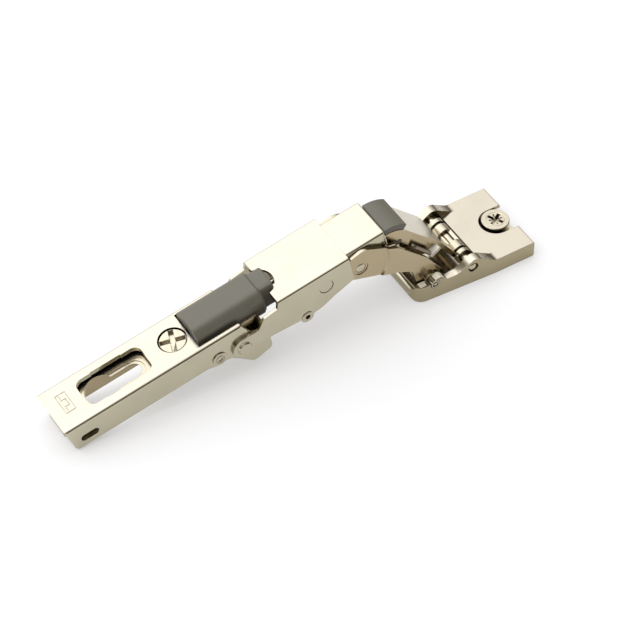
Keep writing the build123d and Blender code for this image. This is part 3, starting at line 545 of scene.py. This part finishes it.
# ------------------------------------------------------------------ damper's nose
OLD_NOSE = [(-7, -2), (7, -2), (7, 16), (-7, 16)]
OLD_NOSE_SPAN = (10.85, 17.0)       # along the arm
NOSE = [
    (-4.0, 4.0), (-4.0, 10.3), (-3.5, 11.3), (-2.5, 11.85), (2.5, 11.85), (3.5, 11.3), (4.0, 10.3),
    (4.0, 4.0), (3.2, 2.8), (-3.2, 2.8),
]
NOSE_SPAN = (10.0, 14.9)
NOSE_ROUND = 0.5
NOSE_ROUND_STEPS = 4
NOSE_ROUND_FROM = 60.0              # edges over this angle are rounded

damper = settled(own_shape("damper_body"), [prism(OLD_NOSE, *OLD_NOSE_SPAN, crosswise)])
nose = softened(prism(NOSE, *NOSE_SPAN, crosswise), NOSE_ROUND, NOSE_ROUND_STEPS, NOSE_ROUND_FROM)
placed(together(damper, nose), "damper_shell", "damper_body")

# ------------------------------------------------------------------ screws
SIDE_SCREW = (-16.2, 0.0)
SIDE_SCREW_HEAD = [(0, 0.6), (2.5, 0.6), (2.5, 6.4), (3.95, 6.4), (3.95, 7.8), (3.75, 8.0), (0, 8.0)]
SIDE_CROSS = (7.3, 1.5, -20, 6.8)   # length, width, turn and floor of a cross recess
SIDE_OVER = 9.0                     # above the head, for cuts
CAM_PLACE = (15.9, 0.0)
CAM_HEAD = [
    (0, 2.5), (2.3, 2.5), (4.15, 2.5), (4.15, 6.05), (3.95, 6.28), (2.75, 6.3), (2.65, 6.22), (2.55, 6.3),
    (0, 6.3),
]
CAM_CROSS = (4.8, 1.0, 30, 4.9)
CAM_MARKS = (4.0, 0.4, 75, 5.9)
CAM_OVER = 7.0
CAM_FOOT_PLACE = (16.7, 0.0)
CAM_FOOT = 2.9
CAM_FOOT_SPAN = (0.2, 1.2)
CAM_NECK = 2.3
CAM_NECK_SPAN = (0.2, 2.6)


def slot_box(centre, length, width, turn, bottom, top, at):
    """Box that cuts one slot of a cross recess."""
    corners = []
    for along, across in ((-1, -1), (1, -1), (1, 1), (-1, 1)):
        x, y = along * length / 2, across * width / 2
        c, s = cos(radians(turn)), sin(radians(turn))
        corners.append((centre[0] + x * c - y * s, centre[1] + x * s + y * c))
    return prism(corners, bottom, top, at)


def cross_recess(centre, recess, top, at):
    """The two slots of a cross recess."""
    length, width, turn, floor = recess
    return [slot_box(centre, length, width, angle, floor, top, at) for angle in (turn, turn + 90)]


def screw_head(centre, profile, at):
    """Round body from radii and heights."""
    return turned(centre, [(radius, -height) for radius, height in profile], at, sides=(-1,))


screw = screw_head(SIDE_SCREW, SIDE_SCREW_HEAD, deck)
cross = cross_recess(SIDE_SCREW, SIDE_CROSS, SIDE_OVER, deck)
placed(settled(screw, cross), "side_screw_body", "side_screw")

cam = screw_head(CAM_PLACE, CAM_HEAD, level)
cam_slots = cross_recess(CAM_PLACE, CAM_CROSS, CAM_OVER, level)
cam_slots += cross_recess(CAM_PLACE, CAM_MARKS, CAM_OVER, level)
cam_foot = disc(CAM_FOOT_PLACE, CAM_FOOT, *CAM_FOOT_SPAN, level)
cam_neck = disc(CAM_PLACE, CAM_NECK, *CAM_NECK_SPAN, level)
placed(together(settled(cam, cam_slots), cam_foot, cam_neck), "cam_screw_body", "cam_screw")

# ------------------------------------------------------------------ rear arm, its rivet and its latch
ARM_TOP = 8.3
WINDOW_STEP = [(-39.8, -5.15), (-30.2, -5.15), (-30.2, 5.15), (-39.8, 5.15)]
WINDOW_STEP_SPAN = (6.0, 9.0)       # the window is wider over its middle stretch
STAMP = (-50.0, 0.8)                # middle of the stamped frame
STAMP_DEPTH = 0.12
STAMP_OVER = 0.5                    # how far the cut runs out of the face
STAMP_LINES = [                     # along, across, length and width of each line
    (-1.5, 0.0, 0.22, 7.0), (1.5, 0.0, 0.22, 7.0), (0.0, -3.39, 2.76, 0.22), (0.0, 3.39, 2.76, 0.22),
    (0.0, -1.2, 1.7, 0.2), (0.0, 1.2, 1.7, 0.2), (-0.6, -2.3, 0.2, 1.2), (0.6, 0.0, 0.2, 1.8),
    (-0.6, 2.3, 0.2, 1.2),
]
REAR_RIVET = (-7.5, 0.7)
RIVET_FACE = 8.6
RIVET_TRIM = 4.0                    # radius of the cut that leaves the face
RIVET_PLUG = 1.0                    # fills the bore up to its floor
RIVET_FLOOR = 8.4                   # bottom of the rivet's shallow bore
RIVET_GROOVE = [(1.15, 8.45), (1.4, 8.45), (1.4, 9.0), (1.15, 9.0), (1.15, 8.45)]
LATCH_TAIL = [(-58.0, -3.0), (-54.7, -3.0), (-54.7, 8.0), (-58.0, 8.0)]
PAST_LATCH = 5                      # beyond the latch's sides, for the cut that takes its tail off
BUSH_RING = [(1.55, 8.85), (2.2, 8.85), (2.2, 9.7), (1.55, 9.7), (1.55, 8.85)]

arm_cuts = [prism(WINDOW_STEP, *WINDOW_STEP_SPAN, deck)]
for along, across, length, width in STAMP_LINES:
    place = (STAMP[0] + along, STAMP[1] + across)
    arm_cuts.append(slot_box(place, length, width, 0, ARM_TOP - STAMP_DEPTH, ARM_TOP + STAMP_OVER, deck))
placed(settled(own_shape("rear_arm"), arm_cuts), "arm_shell", "rear_arm")

rivet_cuts = both_sides(circle(REAR_RIVET, RIVET_TRIM), RIVET_FACE, PAST_WALLS)
rivet_cuts.append(turned(REAR_RIVET, RIVET_GROOVE))
rivet = settled(own_shape("rear_rivet"), rivet_cuts)
rivet = settled(rivet, [disc(REAR_RIVET, RIVET_PLUG, -RIVET_FLOOR, RIVET_FLOOR)], "UNION")
placed(rivet, "rear_rivet_body", "rear_rivet")
latch_cut = prism(LATCH_TAIL, -PAST_LATCH, PAST_LATCH)
placed(settled(own_shape("rear_latch"), [latch_cut]), "latch_body", "rear_latch")
bush_rings = turned(INNER_FOOT, BUSH_RING, upright)
placed(bush_rings, "foot_bush_rings", "foot_bushes", finish=FINISHES["steel_pin"])

# ------------------------------------------------------------------ base plate with its keyhole
BASE_TOP = 5.2
ABOVE_BASE = [(-46, -6), (-20, -6), (-20, 6), (-46, 6)]
BASE_DECK = [(-45.3, -6.2), (-22.5, -6.2), (-22.5, 6.2), (-45.3, 6.2)]
DECK_SHEET = 0.5
LOBE = (-39.6, 0.0)
LOBE_RADIUS = 4.9
ABOVE_BASE_END = 6.8
LOBE_CUT = (3.0, 6.0)               # heights of the cut through the base
KEYHOLE_CUT = (4.0, 7.0)            # and of the cut through its deck
NARROW = (2.5, -26.9)               # half width and front of the narrow lobe
REBATE = (3.4, -26.0)               # and of the rebate round it
REBATE_FLOOR = 0.2                  # above the base's top
BOW_STEP = 10


def narrow_lobe(half, front):
    """Outline of the slot's narrow lobe, square at the back and round in front."""
    bow = [polar((front - half, 0.0), half, angle) for angle in range(-90, 91, BOW_STEP)]
    return [(LOBE[0], -half)] + bow + [(LOBE[0], half)]


base_cuts = [prism(ABOVE_BASE, BASE_TOP, ABOVE_BASE_END, deck), disc(LOBE, LOBE_RADIUS, *LOBE_CUT, deck)]
base = settled(own_shape("inner_base"), base_cuts)
keyhole = [
    disc(LOBE, LOBE_RADIUS, *KEYHOLE_CUT, deck),
    prism(narrow_lobe(*NARROW), *KEYHOLE_CUT, deck),
    prism(narrow_lobe(*REBATE), BASE_TOP + REBATE_FLOOR, KEYHOLE_CUT[1], deck),
]
base_deck = settled(prism(BASE_DECK, BASE_TOP, BASE_TOP + DECK_SHEET, deck), keyhole)
placed(together(base, base_deck), "base_shell", "inner_base")

# ------------------------------------------------------------------ the other pieces, in their own shapes
RESHAPED = {
    "outer_lever", "bumper", "door_housing", "outer_foot_pin", "inner_foot_pin", "cover", "rocker_pin",
    "inner_lever", "inner_rivets", "damper_body", "side_screw", "cam_screw", "rear_arm", "inner_base",
    "rear_latch", "foot_bushes", "rear_rivet",
}
for node in SLOTS:
    if node not in RESHAPED:
        placed(own_shape(node), node + "_piece", node)

# ------------------------------------------------------------------ floor, light and camera
WHITE = (1.0, 1.0, 1.0, 1.0)
FLOOR_TINT = (0.93, 0.93, 0.95)
FLOOR_GLOW = 0.45                   # share of plain white that the camera and the metal see
FLOOR_SIZE = 3.0                    # metres
FLOOR_DROP = 0.00005                # gap under the lowest face, in metres
LAMP_AIM = (-0.05, 0, 0)
SKY_MIDDLE = (-0.30, 0.52, 0.80)    # direction of the brightest part of the sky
SKY_START = 0.20                    # cosine from that direction where the sky begins
SKY_FULL = 0.93                     # and where it is at its brightest
SKY_STRENGTH = 1.9
ROOM_DIM = (0.07, 0.058, 0.038, 1.0)
CAMERA_YAW = radians(31.83)
CAMERA_PITCH = radians(47.58)
CAMERA_ASIDE = 36.98                # millimetres from the world's origin, along the picture
CAMERA_AWAY = 25.22                 # and away from the camera, on the floor
CAMERA_REACH = 838.63
CAMERA_SENSOR = 36                  # millimetres
CAMERA_PICTURE = 640                # pixels across
CAMERA_FOCUS = 2975.7               # focal length, in the same pixels
CAMERA_LENS = CAMERA_FOCUS / CAMERA_PICTURE * CAMERA_SENSOR


def plain_floor():
    """Pale floor that keeps a soft shadow, and shows as white to the camera and in the metal."""
    work = bmesh.new()
    bmesh.ops.create_grid(work, x_segments=2, y_segments=2, size=FLOOR_SIZE)
    mesh = finished(work, "floor")
    floor = bpy.data.objects.new("floor", mesh)
    floor.location = (0, 0, CAD_BOX[0][2] - FLOOR_DROP)
    bpy.context.scene.collection.objects.link(floor)
    finish = Finish("floor_white")
    finish.feed("Base Color", (*FLOOR_TINT, 1.0))
    finish.feed("Roughness", 0.9)
    finish.feed("Specular IOR Level", 0.2)
    seen = finish.add("ShaderNodeLightPath", {}, output="Is Camera Ray")
    gloss = finish.add("ShaderNodeLightPath", {}, output="Is Glossy Ray")
    through = finish.add("ShaderNodeLightPath", {}, output="Is Transmission Ray")
    glow = finish.add("ShaderNodeEmission", {"Color": WHITE, "Strength": 1.0})
    share = seen.largest(gloss).largest(through) * FLOOR_GLOW
    lit = Value(finish, finish.shader.outputs[0])
    both = finish.add("ShaderNodeMixShader", {0: share, 1: lit, 2: glow})
    finish.tree.links.new(both.socket, finish.tree.nodes["Material Output"].inputs[0])
    mesh.materials.append(finish.material)


def soft_light(name, place, aim, size, power):
    """Square soft box that faces a point."""
    lamp = bpy.data.lights.new(name, "AREA")
    lamp.size = size
    lamp.energy = power
    box = bpy.data.objects.new(name, lamp)
    box.location = place
    box.rotation_euler = (Vector(aim) - Vector(place)).to_track_quat("-Z", "Y").to_euler()
    bpy.context.scene.collection.objects.link(box)


def studio_world():
    """White for the camera; for light and gloss a bright sky high ahead and a dim room round it."""
    world = bpy.data.worlds.new("studio")
    bpy.context.scene.world = world
    world.use_nodes = True
    graph = Graph(world.node_tree)
    graph.tree.nodes.clear()
    towards = graph.add("ShaderNodeTexCoord", {}, output="Generated")
    facing = graph.add(
        "ShaderNodeVectorMath", {0: towards, 1: SKY_MIDDLE}, output="Value", operation="DOT_PRODUCT"
    )
    stops = [(0.0, ROOM_DIM), (SKY_START, ROOM_DIM), (SKY_FULL, WHITE)]
    sky = graph.add("ShaderNodeValToRGB", {0: facing}, stops=stops)
    room = graph.add("ShaderNodeBackground", {0: sky, 1: SKY_STRENGTH})
    plain = graph.add("ShaderNodeBackground", {0: WHITE})
    seen = graph.add("ShaderNodeLightPath", {}, output="Is Camera Ray")
    both = graph.add("ShaderNodeMixShader", {0: seen, 1: room, 2: plain})
    graph.add("ShaderNodeOutputWorld", {0: both})


def still_camera():
    """Camera that looks down along the hinge from its near left side."""
    right = Vector((cos(CAMERA_YAW), -sin(CAMERA_YAW), 0))
    ahead = Vector((sin(CAMERA_YAW), cos(CAMERA_YAW), 0))
    forward = ahead * cos(CAMERA_PITCH) - Vector((0, 0, sin(CAMERA_PITCH)))
    up = ahead * sin(CAMERA_PITCH) + Vector((0, 0, cos(CAMERA_PITCH)))
    place = -right * CAMERA_ASIDE - ahead * CAMERA_AWAY - forward * CAMERA_REACH
    lens = bpy.data.cameras.new("camera")
    lens.sensor_width = CAMERA_SENSOR
    lens.lens = CAMERA_LENS
    lens.clip_start = 0.01
    camera = bpy.data.objects.new("camera", lens)
    turn = Matrix((right, up, -forward)).transposed().to_4x4()
    camera.matrix_world = Matrix.Translation(place * MM) @ turn
    bpy.context.scene.collection.objects.link(camera)
    bpy.context.scene.camera = camera


plain_floor()
studio_world()
soft_light("key", (-0.45, 0.1, 0.8), LAMP_AIM, 0.45, 1.2)
soft_light("fill", (0.5, -0.1, 0.7), LAMP_AIM, 0.5, 0.4)
still_camera()
bpy.context.scene.view_settings.view_transform = "Standard"
